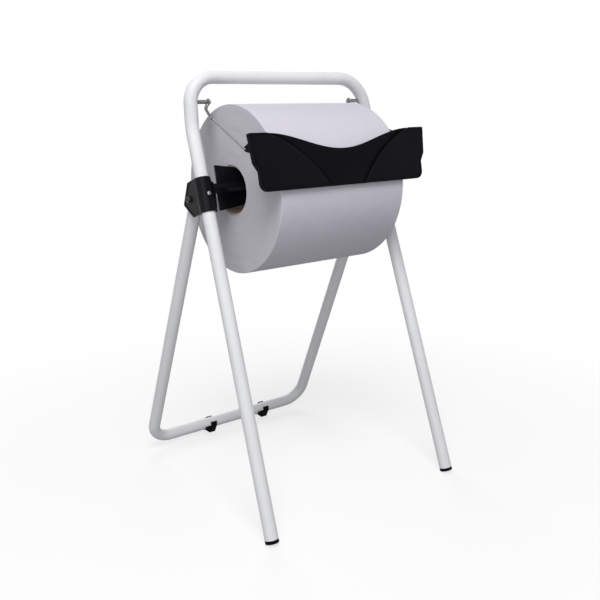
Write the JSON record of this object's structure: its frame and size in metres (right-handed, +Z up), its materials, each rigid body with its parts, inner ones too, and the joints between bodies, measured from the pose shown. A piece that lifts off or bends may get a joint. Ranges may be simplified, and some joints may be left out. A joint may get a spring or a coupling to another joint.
{
  "type": "industrial paper roll stand",
  "caption": "Folding tubular floor stand that carries one wide paper roll on two core holders, with a hinged tear-off plate on wire arms.",
  "frame": {"origin": "on the floor, under the middle of the standing outline", "axes": "+Z up; the stand's front, with the tear-off plate, faces -Y; +X is the right side seen from behind the plate looking along +Y, along the roll's axis"},
  "size_m": [0.4178, 0.4574, 0.718],
  "materials": {
    "white_powder_coat": "satin white powder coat",
    "black_plastic": "black moulded plastic, fine satin",
    "black_rubber": "black soft plastic, matt",
    "zinc_steel": "zinc plated",
    "black_steel": "black oxide, slightly oily",
    "paper": "uncoated pale wiping paper",
    "cardboard": "plain brown board"
  },
  "bodies": {
    "front_frame": {"front_frame_tube": "white_powder_coat", "front_foot_cap_left": "black_rubber", "front_foot_cap_right": "black_rubber", "hinge_bracket_left": "black_plastic", "hinge_bracket_right": "black_plastic", "core_holder_left": "black_plastic", "core_holder_right": "black_plastic", "pivot_bolt_left": "black_steel", "pivot_bolt_right": "black_steel", "pivot_nut_left": "zinc_steel", "pivot_nut_right": "zinc_steel", "outer_washer_left": "black_steel", "outer_washer_right": "black_steel", "inner_washer_left": "zinc_steel", "inner_washer_right": "zinc_steel", "leg_screw_left": "zinc_steel", "leg_screw_right": "zinc_steel", "holder_screw_left": "zinc_steel", "holder_screw_right": "zinc_steel", "hanger_pin_left": "zinc_steel", "hanger_pin_right": "zinc_steel"},
    "rear_frame": {"rear_frame_tube": "white_powder_coat", "rear_clip_foot_left": "black_rubber", "rear_clip_foot_right": "black_rubber", "pivot_insert_left": "black_plastic", "pivot_insert_right": "black_plastic"},
    "roll": {"paper_roll": "paper", "cardboard_core": "cardboard"},
    "tear_arms": {"wire_arm_left": "zinc_steel", "wire_arm_right": "zinc_steel"},
    "tear_plate": {"tear_plate": "black_plastic"}
  },
  "joints": [
    {"name": "rear_fold", "type": "hinge", "parent": "front_frame", "child": "rear_frame", "pos_m": [0, -0.00878, 0.5169], "axis": [-1, 0, 0], "range_deg": [0, 43]},
    {"name": "roll_spin", "type": "hinge", "parent": "front_frame", "child": "roll", "pos_m": [0, -0.02758, 0.52768], "axis": [1, 0, 0], "continuous": true},
    {"name": "arm_lift", "type": "hinge", "parent": "front_frame", "child": "tear_arms", "pos_m": [0, -0.00201, 0.6685], "axis": [-1, 0, 0], "range_deg": [0, 118]},
    {"name": "plate_tilt", "type": "hinge", "parent": "tear_arms", "child": "tear_plate", "pos_m": [0, -0.14393, 0.59993], "axis": [-1, 0, 0], "range_deg": [0, 45]}
  ]
}
